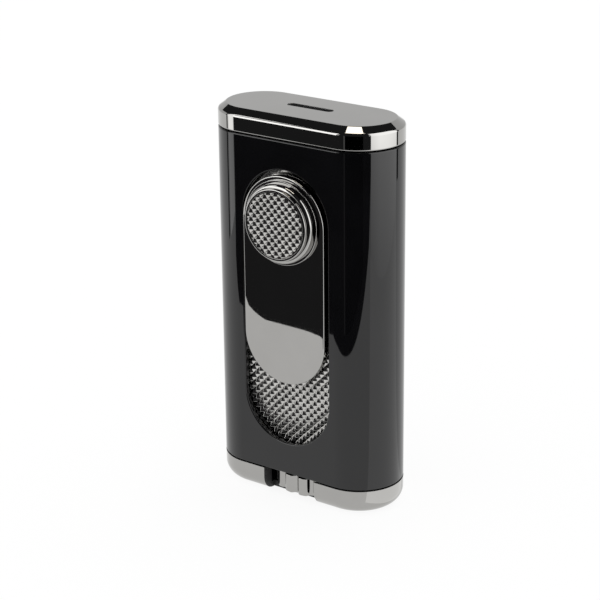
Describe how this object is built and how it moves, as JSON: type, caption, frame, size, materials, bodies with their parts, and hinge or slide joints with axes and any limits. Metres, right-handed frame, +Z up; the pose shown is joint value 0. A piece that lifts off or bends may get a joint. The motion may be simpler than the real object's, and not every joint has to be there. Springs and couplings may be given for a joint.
{
  "type": "butane torch",
  "caption": "Slim upright pocket butane torch: black lacquered shell between polished dark caps, sliding trigger plate with a round textured thumb button, adjuster wheel in the base.",
  "frame": {"origin": "middle of the flat underside of the base", "axes": "+Z up towards the flame slot, +X to the right with the trigger facing the user, -Y out of the trigger face"},
  "size_m": [0.0384, 0.0204, 0.075],
  "materials": {
    "lacquer": "high-gloss black lacquer on metal",
    "dark_chrome": "mirror-polished dark chrome",
    "texture_metal": "dark chrome in small sharp pyramids",
    "spring_steel": "bright drawn spring wire",
    "zinc_steel": "zinc-plated steel",
    "brass": "turned brass",
    "black_plastic": "fine matt moulding",
    "smoke_plastic": "smoke-tinted moulding",
    "rubber": "matt black rubber",
    "ceramic": "off-white ceramic",
    "red_lead": "red wire insulation"
  },
  "bodies": {
    "casing": {"outer_shell": "lacquer", "top_cap": "dark_chrome", "base_cap": "dark_chrome", "flame_shield": "zinc_steel", "backplate": "texture_metal", "return_spring": "spring_steel", "spring_guide_rod": "zinc_steel", "chassis_frame": "black_plastic", "wheel_spacer": "black_plastic", "tank_body": "smoke_plastic", "tank_gasket": "rubber", "tank_lid": "smoke_plastic", "flow_valve_body": "brass", "flow_valve_spring": "spring_steel", "flow_valve_nut": "brass", "lever_pin": "zinc_steel", "burner_bracket": "zinc_steel", "gas_hose": "rubber", "burner_body": "brass", "jet_orifice": "brass", "burner_nozzle": "brass", "piezo_case": "black_plastic", "piezo_element": "ceramic", "piezo_spring": "spring_steel", "electrode_insulator": "ceramic", "electrode_pin": "spring_steel", "ignition_lead": "red_lead", "fill_valve_body": "brass", "fill_valve_spring": "spring_steel", "fill_valve_ring": "rubber", "base_screw_1": "zinc_steel", "base_screw_2": "zinc_steel", "burner_screw_1": "zinc_steel", "burner_screw_2": "zinc_steel", "backplate_screw_1": "zinc_steel", "backplate_screw_2": "zinc_steel", "backplate_screw_3": "zinc_steel", "backplate_screw_4": "zinc_steel"},
    "trigger": {"slide_plate": "dark_chrome", "thumb_bezel": "dark_chrome", "thumb_pad": "texture_metal", "slide_carriage": "black_plastic", "slide_screw_left": "zinc_steel", "slide_screw_right": "zinc_steel"},
    "adjuster": {"adjuster_wheel": "dark_chrome", "adjuster_spindle": "brass"},
    "piezo_plunger_body": {"piezo_plunger": "black_plastic"},
    "lever": {"gas_lever": "zinc_steel"},
    "valve_stem": {"flow_valve_stem": "brass", "flow_valve_seal": "rubber"},
    "fill_stem": {"fill_valve_stem": "brass"}
  },
  "joints": [
    {"name": "slide_trigger", "type": "slide", "parent": "casing", "child": "trigger", "axis": [0, 0, -1], "range_m": [0, 0.006], "stiffness_N_per_m": 600, "springref_m": -0.004, "deforming": ["return_spring"]},
    {"name": "plunger_slide", "type": "slide", "parent": "casing", "child": "piezo_plunger_body", "axis": [0, 0, -1], "range_m": [0, 0.006], "deforming": ["piezo_spring"]},
    {"name": "gas_lever_pivot", "type": "hinge", "parent": "casing", "child": "lever", "pos_m": [0.0018, -0.003, 0.052], "axis": [1, 0, 0], "range_deg": [0, 10]},
    {"name": "flow_stem_lift", "type": "slide", "parent": "casing", "child": "valve_stem", "axis": [0, 0, 1], "range_m": [0, 0.0008], "deforming": ["flow_valve_spring"]},
    {"name": "adjuster_turn", "type": "hinge", "parent": "casing", "child": "adjuster", "pos_m": [0.0018, 0, 0.003], "axis": [0, 0, 1], "range_deg": [-135, 135]},
    {"name": "fill_stem_press", "type": "slide", "parent": "casing", "child": "fill_stem", "axis": [0, 0, 1], "range_m": [0, 0.0012], "stiffness_N_per_m": 100, "springref_m": -0.003, "deforming": ["fill_valve_spring"]}
  ],
  "couplings": [
    {"joint": "plunger_slide", "follows": "slide_trigger", "ratio": 1},
    {"joint": "gas_lever_pivot", "follows": "slide_trigger", "rad_per_m": 29.088},
    {"joint": "flow_stem_lift", "follows": "slide_trigger", "ratio": 0.13333}
  ]
}
